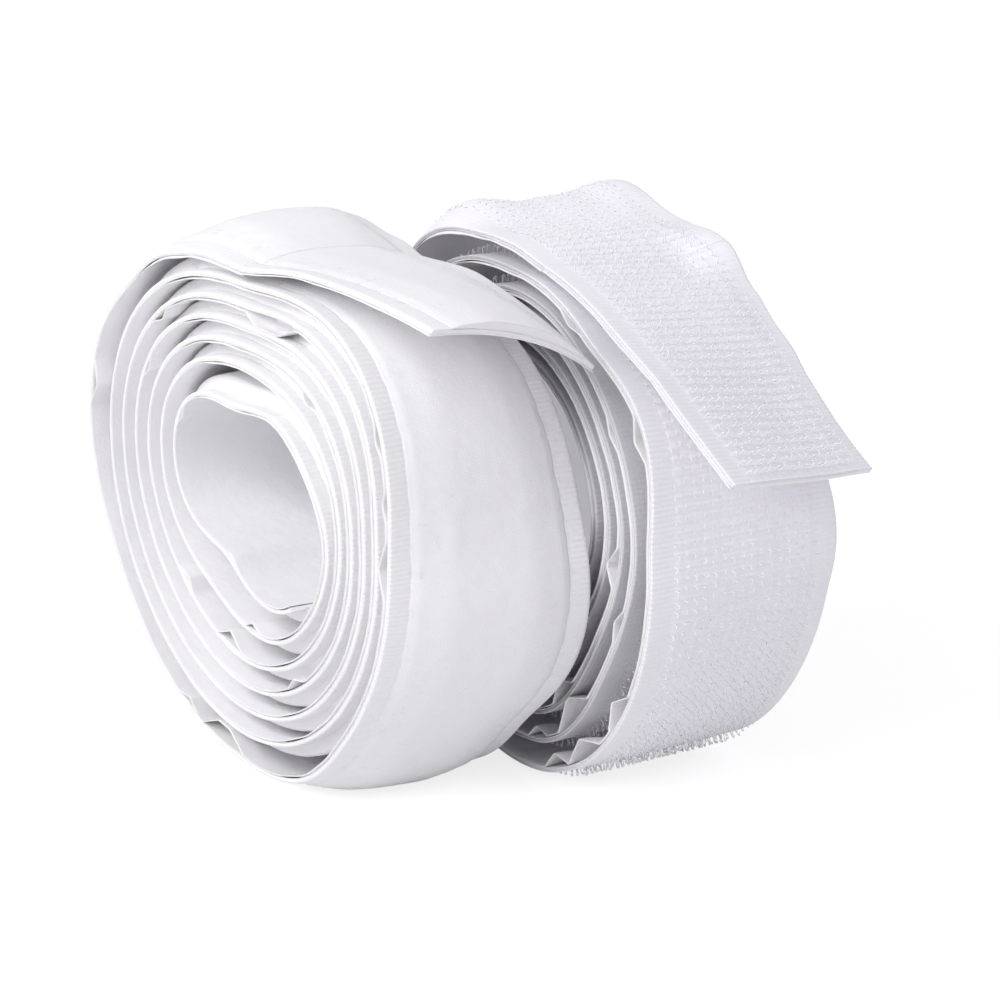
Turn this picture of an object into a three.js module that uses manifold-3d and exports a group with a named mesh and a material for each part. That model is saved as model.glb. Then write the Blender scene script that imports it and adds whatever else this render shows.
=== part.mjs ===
// A matched pair of hook and loop fastening tape: one roll of loop tape and one roll of hook tape.
// Each roll is a single flat tape, wound on itself without a core, with its free end lifting off the top.
// The tape is four layers: a release liner, an adhesive film, a woven ground and a field of loops or hooks.
// Millimetres, +Z up. +X runs along the hook roll's axis, and the origin is on the table under the pair.
// Angles round a roll are clockwise from its top, seen from its front (-X) face.
import * as THREE from 'three';
import { mergeVertices } from 'three/addons/utils/BufferGeometryUtils.js';
import Module from 'manifold-3d';

const wasm = await Module();
wasm.setup();

const degrees = THREE.MathUtils.degToRad;
const lerp = THREE.MathUtils.lerp;
const TURN = 2 * Math.PI;

// The tape, from its inner to its outer face
const TAPE_WIDTH = 25;
const SELVEDGE = 2.5;
const LINER_THICK = 0.16;
const ADHESIVE_THICK = 0.16;
const GROUND_THICK = 0.4;
const FIELD_HEIGHT = 0.85;
const LAYER_GAP = 0.1;

// The windings
const TURN_AIR = 0.48;
const STEPS_PER_TURN = 20;
const INNER_END = degrees(180) - 2.5 * TURN / STEPS_PER_TURN;
const FLAT_CUT = 0.5;

// The loop roll: an oval that is wound tight at the top right and loose at the bottom left
const LOOP_TURNS = 7;
const LOOP_BORE_RADIUS = 10.65;
const LOOP_BORE_WIDENING = 2.1;
const LOOP_BORE_ACROSS = 2.15;
const LOOP_BORE_UP = 1.55;
const LOOP_SLACK = 1.6;
const LOOP_TIGHT_AT = degrees(31);
const LOOP_SHOULDER = 0.45;
const LOOP_SHOULDER_AT = degrees(40);
const LOOP_SHOULDER_SPAN = degrees(45);
const LOOP_FLARE = 3;
const LOOP_FLARE_DIP = 6;
const LOOP_FLARE_DIP_AT = degrees(35);
const LOOP_FLARE_DIP_SPAN = degrees(50);
const LOOP_LIFT = 2.2;
const LOOP_LIFT_AT = degrees(-35);
const LOOP_LIFT_SPAN = degrees(60);

// The hook roll: nearly round, with its last turn standing off the top left
const HOOK_TURNS = 6;
const HOOK_BORE_RADIUS = 15.9;
const HOOK_BORE_WIDENING = 0.7;
const HOOK_BORE_ACROSS = 0.4;
const HOOK_BORE_UP = 1.45;
const HOOK_SLACK = 1.14;
const HOOK_FLARE = -0.4;
const HOOK_FLARE_DIP = 3.6;
const HOOK_FLARE_DIP_AT = degrees(45);
const HOOK_FLARE_DIP_SPAN = degrees(60);
const HOOK_LIFT = 5.5;
const HOOK_LIFT_BACK = 6.8;
const HOOK_LIFT_AT = degrees(-42);
const HOOK_LIFT_SPAN = degrees(55);

// The free ends: where they leave the roll, how they slope and twist, and the liner's loose tab
const LOOP_TAIL_AT = degrees(4);
const LOOP_TAIL_LENGTH = 35.5;
const LOOP_TAIL_SLOPE = degrees(0);
const LOOP_TAIL_END_SLOPE = degrees(-16);
const LOOP_TAIL_BEND = 35.5;
const LOOP_TAIL_TWIST = degrees(19);
const LOOP_TAIL_TWIST_OVER = 35.5;
const LOOP_TAIL_SKEW = degrees(1);
const LOOP_TAB_FROM = 14;
const HOOK_TAIL_AT = degrees(14.8);
const HOOK_TAIL_LENGTH = 37.5;
const HOOK_TAIL_SLOPE = degrees(-14.8);
const HOOK_TAIL_END_SLOPE = degrees(-33);
const HOOK_TAIL_BEND = 14;
const HOOK_TAIL_TWIST = degrees(17);
const HOOK_TAIL_TWIST_OVER = 22;
const HOOK_TAIL_SKEW = degrees(11.4);
const HOOK_TAIL_DRIFT = 2.2;
const HOOK_TAB_FROM = 22;
const TAIL_STEPS = 12;
const END_GAP = 0.4;

// The pair: the loop roll stands in front of the hook roll, turned a little
const LOOP_YAW = degrees(7.9);
const LOOP_ASIDE = 10.3;
const PAIR_CLEARANCE = 1.5;

const FIELD_WIDTH = TAPE_WIDTH - 2 * SELVEDGE;
const GROUND_TOP = 0;
const FIELD_TOP = GROUND_TOP - LAYER_GAP - FIELD_HEIGHT;
const ADHESIVE_TOP = GROUND_TOP + GROUND_THICK + LAYER_GAP;
const LINER_TOP = ADHESIVE_TOP + ADHESIVE_THICK + LAYER_GAP;
const LINER_BOTTOM = LINER_TOP + LINER_THICK;
const LEAST_PITCH = LINER_BOTTOM - FIELD_TOP + TURN_AIR;

// Each layer's depth under the ground's outer face, and the lines across its outer face, front to back.
// The ground has lines under the field's edges too, so that the two faces follow each other.
const EDGES = [-TAPE_WIDTH / 2, TAPE_WIDTH / 2];
const FIELD_EDGES = [-FIELD_WIDTH / 2, FIELD_WIDTH / 2];
const LAYERS = {
  field: { lines: FIELD_EDGES, top: FIELD_TOP, bottom: FIELD_TOP + FIELD_HEIGHT },
  ground: { lines: [EDGES[0], ...FIELD_EDGES, EDGES[1]], top: GROUND_TOP, bottom: GROUND_TOP + GROUND_THICK },
  adhesive: { lines: EDGES, top: ADHESIVE_TOP, bottom: ADHESIVE_TOP + ADHESIVE_THICK },
  liner: { lines: EDGES, top: LINER_TOP, bottom: LINER_BOTTOM },
};

// A smooth hump of height 1 at an angle, falling to 0 at a span to either side
function hump(angle, at, span) {
  const off = Math.abs(angle - at);
  return off < span ? 0.5 + 0.5 * Math.cos(Math.PI * off / span) : 0;
}

function humpEachTurn(angle, at, span) {
  const round = ((angle - at + Math.PI) % TURN + TURN) % TURN - Math.PI;
  return hump(round, 0, span);
}

function boreRadius(angle, radius, widening, across, up) {
  return radius - widening * Math.cos(2 * angle) + across * Math.sin(angle) + up * Math.cos(angle);
}

// Radius of the loop tape's ground at an angle, and at a share of the width from the front edge
function loopRadius(angle, share) {
  const bore = boreRadius(angle, LOOP_BORE_RADIUS, LOOP_BORE_WIDENING, LOOP_BORE_ACROSS, LOOP_BORE_UP);
  const slack = LOOP_SLACK * (1 - Math.cos(angle - LOOP_TIGHT_AT)) / 2;
  const shoulder = LOOP_SHOULDER * humpEachTurn(angle, LOOP_SHOULDER_AT, LOOP_SHOULDER_SPAN);
  const dip = LOOP_FLARE_DIP * humpEachTurn(angle, LOOP_FLARE_DIP_AT, LOOP_FLARE_DIP_SPAN);
  const lift = LOOP_LIFT * hump(angle, LOOP_TURNS * TURN + LOOP_LIFT_AT, LOOP_LIFT_SPAN);
  return bore + (LEAST_PITCH + slack + shoulder) * angle / TURN + (LOOP_FLARE - dip) * share + lift;
}

function hookRadius(angle, share) {
  const bore = boreRadius(angle, HOOK_BORE_RADIUS, HOOK_BORE_WIDENING, HOOK_BORE_ACROSS, HOOK_BORE_UP);
  const slack = HOOK_SLACK * (1 - Math.cos(angle)) / 2;
  const dip = HOOK_FLARE_DIP * humpEachTurn(angle, HOOK_FLARE_DIP_AT, HOOK_FLARE_DIP_SPAN);
  const loose = hump(angle, HOOK_TURNS * TURN + HOOK_LIFT_AT, HOOK_LIFT_SPAN);
  const lift = loose * lerp(HOOK_LIFT, HOOK_LIFT_BACK, share);
  return bore + (LEAST_PITCH + slack) * angle / TURN + (HOOK_FLARE - dip) * share + lift;
}

// A point of a winding. Chords lie inside their arc, so corners stand out by as much.
function woundPoint(radiusAt, angle, x, depth) {
  const onArc = radiusAt(angle, x / TAPE_WIDTH + 0.5) - depth;
  const radius = onArc / Math.cos(Math.PI / STEPS_PER_TURN);
  return new THREE.Vector3(x, -radius * Math.sin(angle), radius * Math.cos(angle));
}

// A layer's corners in a ring: along the outer face from front to back, then inner back and inner front
function section(pointAt, layer) {
  const ring = layer.lines.map((x) => pointAt(x, layer.top));
  ring.push(pointAt(layer.lines.at(-1), layer.bottom));
  ring.push(pointAt(layer.lines[0], layer.bottom));
  return ring;
}

function windingSections(radiusAt, endAngle, layer) {
  const step = TURN / STEPS_PER_TURN;
  const angles = [];
  for (let angle = INNER_END; angle < endAngle - step / 4; angle += step) {
    angles.push(angle);
  }
  angles.push(endAngle);
  return angles.map((angle) => section((x, depth) => woundPoint(radiusAt, angle, x, depth), layer));
}

// The middle line of a free end, in steps from the end of the winding, with its cross and normal directions
function tailRoute(tail) {
  const front = woundPoint(tail.radiusAt, tail.endAngle, -TAPE_WIDTH / 2, 0);
  const back = woundPoint(tail.radiusAt, tail.endAngle, TAPE_WIDTH / 2, 0);
  const startTwist = -Math.atan2(back.z - front.z, TAPE_WIDTH);
  const centre = front.clone().add(back).multiplyScalar(0.5);
  const route = [];
  const stride = tail.length / TAIL_STEPS;
  for (let step = 0; step <= TAIL_STEPS; step += 1) {
    const share = step / TAIL_STEPS;
    const slope = lerp(tail.slope, tail.endSlope, Math.min(1, share * tail.length / tail.bend));
    const along = new THREE.Vector3(0, -Math.cos(slope), Math.sin(slope));
    const upright = new THREE.Vector3(0, Math.sin(slope), Math.cos(slope));
    const twist = lerp(startTwist, tail.twist, Math.min(1, share * tail.length / tail.twistOver));
    const cross = new THREE.Vector3(1, 0, 0);
    cross.addScaledVector(along, -Math.tan(tail.skew * share));
    cross.addScaledVector(upright, -Math.tan(twist));
    cross.normalize();
    const normal = cross.clone().cross(along).negate().normalize();
    const middle = centre.clone();
    middle.x += tail.drift * share * share;
    route.push({ distance: share * tail.length, middle, cross, normal });
    centre.addScaledVector(along, stride);
  }
  return route;
}

// The route's frame at a distance along the free end
function routeAt(route, distance) {
  const next = Math.max(1, route.findIndex((stop) => stop.distance >= distance - 1e-6));
  const before = route[next - 1];
  const after = route[next];
  const share = (distance - before.distance) / (after.distance - before.distance);
  return {
    middle: before.middle.clone().lerp(after.middle, share),
    cross: before.cross.clone().lerp(after.cross, share).normalize(),
    normal: before.normal.clone().lerp(after.normal, share).normalize(),
  };
}

// Every layer of a free end has its sections at the same stops, those of the liner's parting among them
function tailSections(route, tabFrom, from, to, layer) {
  const parting = [END_GAP, tabFrom, tabFrom + END_GAP];
  const steps = route.map((stop) => stop.distance);
  const free = steps.filter((step) => parting.every((place) => Math.abs(step - place) > END_GAP));
  const stops = [...parting, ...free].filter((stop) => stop >= from && stop <= to);
  stops.sort((a, b) => a - b);
  return stops.map((distance) => {
    const { middle, cross, normal } = routeAt(route, distance);
    return section((x, depth) => middle.clone().addScaledVector(cross, x).addScaledVector(normal, -depth), layer);
  });
}

// A closed band through its sections. The inner and outer faces are divided along the same diagonals.
function bandGeometry(sections) {
  const positions = sections.flat().flatMap((point) => point.toArray());
  const corners = sections[0].length;
  const innerBack = corners - 2;
  const end = corners * (sections.length - 1);
  const index = [];
  for (let row = 0; row < end; row += corners) {
    for (let side = 0; side < corners; side += 1) {
      const a = row + side;
      const b = a + corners;
      const d = row + (side + 1) % corners;
      const c = d + corners;
      index.push(...(side === innerBack ? [a, b, d, b, c, d] : [a, b, c, a, c, d]));
    }
  }
  for (let fan = 1; fan < corners - 1; fan += 1) {
    const near = (innerBack + fan) % corners;
    const far = (innerBack + fan + 1) % corners;
    index.push(innerBack, near, far);
    index.push(end + innerBack, end + far, end + near);
  }
  const geometry = new THREE.BufferGeometry();
  geometry.setAttribute('position', new THREE.Float32BufferAttribute(positions, 3));
  geometry.setIndex(index);
  return geometry;
}

function solidFrom(geometry) {
  const merged = geometry.clone();
  merged.deleteAttribute('normal');
  merged.deleteAttribute('uv');
  const welded = mergeVertices(merged);
  const vertProperties = new Float32Array(welded.attributes.position.array);
  const triVerts = new Uint32Array(welded.index.array);
  return new wasm.Manifold(new wasm.Mesh({ numProp: 3, vertProperties, triVerts }));
}

// Cuts the foot of a winding flat, so that the roll stands
function cutFlat(geometry, height) {
  geometry.computeBoundingBox();
  const size = geometry.boundingBox.getSize(new THREE.Vector3());
  const centre = geometry.boundingBox.getCenter(new THREE.Vector3());
  const block = new THREE.BoxGeometry(2 * size.x, 2 * size.y, size.z);
  block.translate(centre.x, centre.y, height - size.z / 2);
  const cut = solidFrom(geometry).subtract(solidFrom(block)).getMesh();
  const result = new THREE.BufferGeometry();
  result.setAttribute('position', new THREE.BufferAttribute(cut.vertProperties, 3));
  result.setIndex(new THREE.BufferAttribute(cut.triVerts, 1));
  return result;
}

// Least distance from the outer corners of a winding to the inner corners of its later turns
function leastGap(sections) {
  let least = Infinity;
  sections.forEach((early, place) => {
    for (const late of sections.slice(place + STEPS_PER_TURN / 2)) {
      const front = early[0].distanceTo(late.at(-1));
      const back = early.at(-3).distanceTo(late.at(-2));
      least = Math.min(least, front, back);
    }
  });
  return least;
}

function bandLength(sections) {
  const middles = sections.map((corners) => corners[0].clone().add(corners.at(-3)).multiplyScalar(0.5));
  return middles.slice(1).reduce((sum, point, place) => sum + point.distanceTo(middles[place]), 0);
}

function standard(color, roughness) {
  return new THREE.MeshStandardMaterial({ color, roughness, metalness: 0 });
}

const MATERIALS = {
  loop: {
    field: standard(0xf4f4f2, 0.95),
    ground: standard(0xf0f0ef, 0.85),
    adhesive: standard(0xe4e2dc, 0.35),
    liner: standard(0xf3f3f6, 0.4),
  },
  hook: {
    field: standard(0xe9e9f0, 0.7),
    ground: standard(0xe6e6ee, 0.8),
    adhesive: standard(0xe4e2dc, 0.35),
    liner: standard(0xf3f3f6, 0.4),
  },
};

// One roll: the wound layers, the free end's layers and the liner's tab, standing on z = 0
function tapeRoll(kind, radiusAt, tail) {
  const roll = new THREE.Group();
  const add = (name, layerName, geometry) => {
    const mesh = new THREE.Mesh(geometry, MATERIALS[kind][layerName]);
    mesh.name = name;
    roll.add(mesh);
  };
  const fieldSections = windingSections(radiusAt, tail.endAngle, LAYERS.field);
  const lowest = Math.min(...fieldSections.flat().map((point) => point.z));
  const foot = lowest + FLAT_CUT;
  const route = tailRoute({ ...tail, radiusAt });
  for (const [layerName, layer] of Object.entries(LAYERS)) {
    const sections = windingSections(radiusAt, tail.endAngle, layer);
    const winding = bandGeometry(sections);
    add(`${kind}_${layerName}`, layerName, layerName === 'field' ? cutFlat(winding, foot) : winding);
    const to = layerName === 'liner' ? tail.tabFrom : tail.length;
    const freeEnd = tailSections(route, tail.tabFrom, END_GAP, to, layer);
    add(`${kind}_tail_${layerName}`, layerName, bandGeometry(freeEnd));
    console.log(`${kind}_${layerName}: least gap between turns ${leastGap(sections).toFixed(2)} mm,`
      + ` wound length ${bandLength(sections).toFixed(0)} mm`);
  }
  const tab = tailSections(route, tail.tabFrom, tail.tabFrom + END_GAP, tail.length, LAYERS.liner);
  add(`${kind}_liner_tab`, 'liner', bandGeometry(tab));
  roll.position.z = -foot;
  roll.userData = { route };
  return roll;
}

// A bend line in the object's frame, in metres
function printBend(name, roll, distance, depth) {
  const { middle, cross, normal } = routeAt(roll.userData.route, distance);
  const place = roll.localToWorld(middle.addScaledVector(normal, -depth)).multiplyScalar(0.001);
  const axis = cross.transformDirection(roll.matrixWorld);
  console.log(`${name}: at ${place.toArray().map((n) => n.toFixed(5))} m,`
    + ` along ${axis.toArray().map((n) => n.toFixed(5))}`);
}

const hookRoll = tapeRoll('hook', hookRadius, {
  endAngle: HOOK_TURNS * TURN + HOOK_TAIL_AT,
  length: HOOK_TAIL_LENGTH,
  slope: HOOK_TAIL_SLOPE,
  endSlope: HOOK_TAIL_END_SLOPE,
  bend: HOOK_TAIL_BEND,
  twist: HOOK_TAIL_TWIST,
  twistOver: HOOK_TAIL_TWIST_OVER,
  skew: HOOK_TAIL_SKEW,
  drift: HOOK_TAIL_DRIFT,
  tabFrom: HOOK_TAB_FROM,
});
const loopRoll = tapeRoll('loop', loopRadius, {
  endAngle: LOOP_TURNS * TURN + LOOP_TAIL_AT,
  length: LOOP_TAIL_LENGTH,
  slope: LOOP_TAIL_SLOPE,
  endSlope: LOOP_TAIL_END_SLOPE,
  bend: LOOP_TAIL_BEND,
  twist: LOOP_TAIL_TWIST,
  twistOver: LOOP_TAIL_TWIST_OVER,
  skew: LOOP_TAIL_SKEW,
  drift: 0,
  tabFrom: LOOP_TAB_FROM,
});

// The loop roll's turned back face clears the hook roll's front face all the way across
loopRoll.rotation.z = LOOP_YAW;
loopRoll.position.y = LOOP_ASIDE;
loopRoll.updateMatrixWorld(true);
hookRoll.updateMatrixWorld(true);
const hookFront = new THREE.Box3().setFromObject(hookRoll, true).min.x;
const loopBack = new THREE.Box3().setFromObject(loopRoll, true).max.x;
loopRoll.position.x = hookFront - PAIR_CLEARANCE - loopBack;

const pair = new THREE.Group();
pair.add(hookRoll, loopRoll);
pair.updateMatrixWorld(true);
const box = new THREE.Box3().setFromObject(pair, true);
pair.position.set(-(box.min.x + box.max.x) / 2, -(box.min.y + box.max.y) / 2, -box.min.z);
pair.updateMatrixWorld(true);

printBend('hook tail bend', hookRoll, 0, FIELD_TOP);
printBend('hook liner tab bend', hookRoll, HOOK_TAB_FROM + END_GAP, LINER_BOTTOM);
printBend('loop tail bend', loopRoll, 0, FIELD_TOP);
printBend('loop liner tab bend', loopRoll, LOOP_TAB_FROM + END_GAP, LINER_BOTTOM);

export default pair;
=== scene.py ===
"""A matched pair of hook and loop fastening tape rolls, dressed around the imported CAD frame.

Every size is in millimetres until a mesh is made. A roll's own frame has x along its axis, from the front
face to the back, and angles clockwise from the top, seen from the front. Along a tape, s is the distance from
the line where the free end leaves the roll: below zero in the winding, above zero in the free end. Depth is
measured from the woven ground's outer face towards the roll's middle.
"""
import math

import bpy
import numpy as np
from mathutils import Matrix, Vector


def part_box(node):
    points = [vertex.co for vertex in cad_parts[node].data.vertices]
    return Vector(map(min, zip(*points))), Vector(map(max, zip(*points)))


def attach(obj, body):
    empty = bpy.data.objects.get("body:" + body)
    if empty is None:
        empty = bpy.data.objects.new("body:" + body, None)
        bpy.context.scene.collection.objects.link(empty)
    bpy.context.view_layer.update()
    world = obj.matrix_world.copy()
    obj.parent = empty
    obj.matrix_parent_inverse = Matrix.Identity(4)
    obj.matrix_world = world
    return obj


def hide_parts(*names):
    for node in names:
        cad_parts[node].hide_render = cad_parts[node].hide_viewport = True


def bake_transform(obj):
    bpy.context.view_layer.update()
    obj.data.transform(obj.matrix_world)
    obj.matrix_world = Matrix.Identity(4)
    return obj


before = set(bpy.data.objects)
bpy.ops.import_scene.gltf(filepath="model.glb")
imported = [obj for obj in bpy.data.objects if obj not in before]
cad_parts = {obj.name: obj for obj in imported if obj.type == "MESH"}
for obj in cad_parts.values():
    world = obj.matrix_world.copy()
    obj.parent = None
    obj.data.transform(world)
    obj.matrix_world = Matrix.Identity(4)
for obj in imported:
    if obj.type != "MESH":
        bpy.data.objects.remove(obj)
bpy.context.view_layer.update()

MM = 0.001
TURN = 2 * math.pi
TINY = 1e-9
SEED = 20

# The tape: its widths and the depths of its layers
TAPE_WIDTH = 25
HALF_WIDTH = TAPE_WIDTH / 2
SELVEDGE = 2.5
FIELD_WIDTH = TAPE_WIDTH - 2 * SELVEDGE
HALF_FIELD = FIELD_WIDTH / 2
GROUND_THICK = 0.44
LINER_BOTTOM = 0.7
ADHESIVE = {"half": HALF_WIDTH - 0.1, "top": GROUND_THICK, "bottom": 0.56, "columns": 13}
LINER = {"half": HALF_WIDTH + 0.15, "top": 0.58, "bottom": LINER_BOTTOM, "columns": 17}

# The fields: how deep they are sunk into the ground, and the room that they take up under the next turn
FIELD_SUNK = 0.02
FIELD_BOTTOM = 0.1
FIELD_SPACE = 0.95
FIELD_OVERHANG = 0.4
FIELD_FADE = 1.3
OPEN_ROOM = 12.0
LINER_CLEARANCE = 0.1

# The steps along the tape at which its layers are made, and the number of last turns that have fine steps
COARSE_STEP = 1.1
LINER_STEP = 0.45
PILE_STEP = 0.4
FINE_TURNS = 1.1

# The weave. The profile runs from the cut edge inwards: place, round-off, ribs' share, wavy edge's share
RIB_PITCH = 0.58
RIB_HEIGHT = 0.05
RIB_STEP = RIB_PITCH / 4
WARP_PITCH = 0.62
SELVEDGE_PROFILE = np.array([
    (0, 0.2, 0.3, 1),
    (0.03, 0.1, 0.7, 0.8),
    (0.12, 0.02, 1, 0.3),
    (0.4, 0, 1, 0),
    (0.9, 0, 1, 0),
    (1.4, 0, 1, 0),
    (1.9, 0, 0.9, 0),
    (2.3, 0, 0.5, 0),
    (2.8, 0, 0, 0),
])
UNDERSIDE_CORNERS = np.array([0.03, 0.15, 2.8])
UNDERSIDE_ROUND = 0.12
GROUND_MIDDLE = 7.5
GROUND_COLUMNS = 7
EDGE_WAVE = 0.025

# The pile of the loop tape. Its lumps are (length along the tape, width across it, shift of the noise)
PILE_HEIGHT = 0.9
PILE_CROWN = 6
PILE_FEATHER = 1.2
PILE_EDGE_SHARE = 0.35
PILE_COLUMNS = 51
PILE_UNDER_EVERY = 5
PILE_SPREAD = 0.06
PILE_UNEVEN = 0.025
PILE_LUMPS = [(1.9, 1.7, 0), (0.8, 0.8, 9)]
PILE_WANDER = 0.2
PILE_WANDER_LENGTH = 1.3
PILE_WANDER_ROW = 7.5
PILE_WANDER_FROM = 8.5
INNER_PILE_LEAST = 0.3
INNER_PILE_MOST = 1.6
INNER_PILE_SHARE = 0.86
COVER_FADE = 0.2

# The loops' fibres, whose spans and rises vary between two shares of the plain value
FIBRES_PER_MM2 = 0.9
FIBRE_WIRE = 0.009
FIBRE_SIDES = 3
FIBRE_POINTS = 5
FIBRE_SPAN = 0.8
FIBRE_SPANS = (0.5, 1.5)
FIBRE_RISE = 0.1
FIBRE_RISES = (0.3, 1.4)
FIBRE_CURL = 0.35
FIBRE_ROOT = 0.85
FIBRE_END_MARGIN = 0.5
FIBRE_OVERHANG = 0.3

# The bed that the hooks stand in, and its share of each kind of relief
BED_HEIGHT = 0.2
BED_PLAIN = 0.1
BED_RIBS = 0.15
BED_COLUMNS = 0.35
BED_ROWS = 0.4
BED_FEATHER = 1.6
BED_STEPS = 4

# The hooks: columns across the field, rows along it
HOOK_COLUMNS = 16
COLUMN_PITCH = FIELD_WIDTH / HOOK_COLUMNS
HOOK_ROW_PITCH = 1.32
HOOK_ROW_START = 0.6
HOOK_WIRE = 0.06
HOOK_HEIGHT = 1.05
HOOK_REACH = 0.42
HOOK_BEND = math.radians(205)
HOOK_BEND_POINTS = 5
HOOK_ROOT = 0.1
HOOK_TALLNESS = (0.9, 1.06)
HOOK_LEAN_ALONG = 0.08
HOOK_LEAN_ACROSS = 0.12
HOOK_STRAY_ALONG = 0.08
HOOK_STRAY_ACROSS = 0.06
HOOK_SIDES = 4
INNER_HOOK_SIDES = 3
INNER_EDGE_COLUMNS = 3
SEAM_MARGIN = 0.3
CUT_END_MARGIN = 0.7
INNER_END_MARGIN = 1
COVERED_MARGIN = 0.5

# Where the hooks lie low, as (from, fade, to, fade): where the tape bows off the roll's top, and under the
# free end
PRESSED_STRETCHES = [(-70, 12, -3, 8), (-200, 10, -164, 8)]
PRESSED_SHARE = 0.75

# The liner: its ripple and its tents, which are largest at the front edge and fade over a reach
LINER_RIPPLE = 0.1
LINER_RIPPLE_LENGTH = 3.1
LINER_RIPPLE_ROW = 0.5
LINER_RIPPLE_FADE = 0.8
TENT_REACH = 9
TENT_FADE = 0.75
TENT_SLANT = 0.05
TENT_POWER = 0.85
END_RIPPLE = 0.08
END_RIPPLE_LENGTH = 3.7
END_RIPPLE_ACROSS = 0.3
END_RIPPLE_INSET = 0.4
END_RIPPLE_FADE = 3

# Free ends: the length of the bend where a lifted end leaves the roll, and where a peeled tab comes off; only
# the bends' end points are found from them, and nothing bends
LIFT_BEND = 9
PEEL_BEND = 5

# The windings. A rise is (degrees, span in degrees to either side, height)
LEAST_PITCH = 2.35
INNER_END = math.radians(135)
WINDING_SAMPLES = 6000
TAIL_SAMPLES = 300
WAVER = 0.06
WAVER_LENGTH = 9
WAVER_ACROSS = 0.4
WAVER_FADE = 30

# The loop roll. Its sags count from the first turn's top, and its end lift from the last turn's top
LOOP_TURNS = 7
LOOP_BORE = 13.1
LOOP_BORE_WAVES = [(0.47, 1.44), (-1.13, -0.88), (-0.52, 0.05)]
LOOP_SLACK = 1.07
LOOP_SLACK_POWER = 1.5
LOOP_TIGHT_AT = math.radians(47)
LOOP_SHOULDER = (48, 48, 1.05)
LOOP_SHOULDER_FROM = 2.2
LOOP_SAGS = [(200, 75, 4), (355, 62, 2.8), (425, 40, 1.4), (562, 60, 1.5)]
LOOP_END_LIFT = (282, 45, 2.2)
LOOP_FLARE = 2.6
LOOP_INNER_FLARE = 0.3
LOOP_RIM_DIP = (38, 64, 7.2)
LOOP_RIM_RISE = (110, 34, 2.6)

# The hook roll. Its corner and its lifts count from the last turn's top, and the last turn has no sag
HOOK_TURNS = 6
HOOK_BORE = 15.9
HOOK_BORE_WAVES = [(1.45, 0.4), (-0.7, 0)]
HOOK_SLACK = 1.14
HOOK_SAG = (122, 45, 2.5)
HOOK_CORNER = (63, 27, 3)
HOOK_END_LIFT = (318, 55, 5.5)
HOOK_BACK_LIFT = (318, 55, 1.3)
HOOK_UNDER_LIFT = (-42, 50, 2.4)
HOOK_RIM_DROP = 0.4
HOOK_RIM_DIPS = [(38, 40, 3.6), (122, 50, 1.2)]

# The camera, at the photograph's viewing angle
CAMERA_TARGET = (5.20, 0.32, 32.57)
CAMERA_AZIMUTH = math.radians(-28.65)
CAMERA_ELEVATION = math.radians(16.33)
CAMERA_DISTANCE = 338.5
CAMERA_LENS = 100.8
CAMERA_SENSOR = 36

random = np.random.RandomState(SEED)


# Smooth shapes and noise

def hump(offset, span):
    """1 at no offset, falling smoothly to 0 at a span to either side."""
    return np.where(np.abs(offset) < span, 0.5 + 0.5 * np.cos(np.pi * offset / span), 0.0)


def rise_once(angle, rise):
    """The height of a rise that stands on one turn."""
    at, span, height = rise
    return height * hump(angle - math.radians(at), math.radians(span))


def rise_each_turn(angle, rise):
    """The height of a rise that stands on every turn."""
    at, span, height = rise
    offset = (angle - math.radians(at) + np.pi) % TURN - np.pi
    return height * hump(offset, math.radians(span))


def smooth_step(value):
    value = np.clip(value, 0, 1)
    return value * value * (3 - 2 * value)


def unit(vectors):
    return vectors / np.maximum(np.linalg.norm(vectors, axis=-1, keepdims=True), TINY)


NOISE_SIDE = 64
noise_table = random.uniform(-1, 1, (NOISE_SIDE, NOISE_SIDE))


def noise(u, v):
    """Smooth noise between -1 and 1, with a knot at each whole number."""
    u, v = np.broadcast_arrays(u, v)
    iu = np.floor(u).astype(int)
    iv = np.floor(v).astype(int)
    fu = smooth_step(u - iu)
    fv = smooth_step(v - iv)
    near = noise_table[iu % NOISE_SIDE, iv % NOISE_SIDE] * (1 - fu)
    near = near + noise_table[(iu + 1) % NOISE_SIDE, iv % NOISE_SIDE] * fu
    far = noise_table[iu % NOISE_SIDE, (iv + 1) % NOISE_SIDE] * (1 - fu)
    far = far + noise_table[(iu + 1) % NOISE_SIDE, (iv + 1) % NOISE_SIDE] * fu
    return near * (1 - fv) + far * fv


# The rolls

def share_of_width(x):
    """0 at the tape's front edge, 1 at its back edge."""
    return np.asarray(x) / TAPE_WIDTH + 0.5


def bore_radius(angle, mean, waves):
    """The bore's radius from waves of (cosine, sine), the first once round, the second twice and so on."""
    radius = mean
    for count, (cosine, sine) in enumerate(waves, 1):
        radius = radius + cosine * np.cos(count * angle) + sine * np.sin(count * angle)
    return radius


def loop_flare(angle):
    """How much further out the loop roll's back edge lies than its front edge."""
    flare = LOOP_FLARE - rise_each_turn(angle, LOOP_RIM_DIP) + rise_each_turn(angle, LOOP_RIM_RISE)
    return flare * (LOOP_INNER_FLARE + (1 - LOOP_INNER_FLARE) * angle / TURN / LOOP_TURNS)


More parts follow.
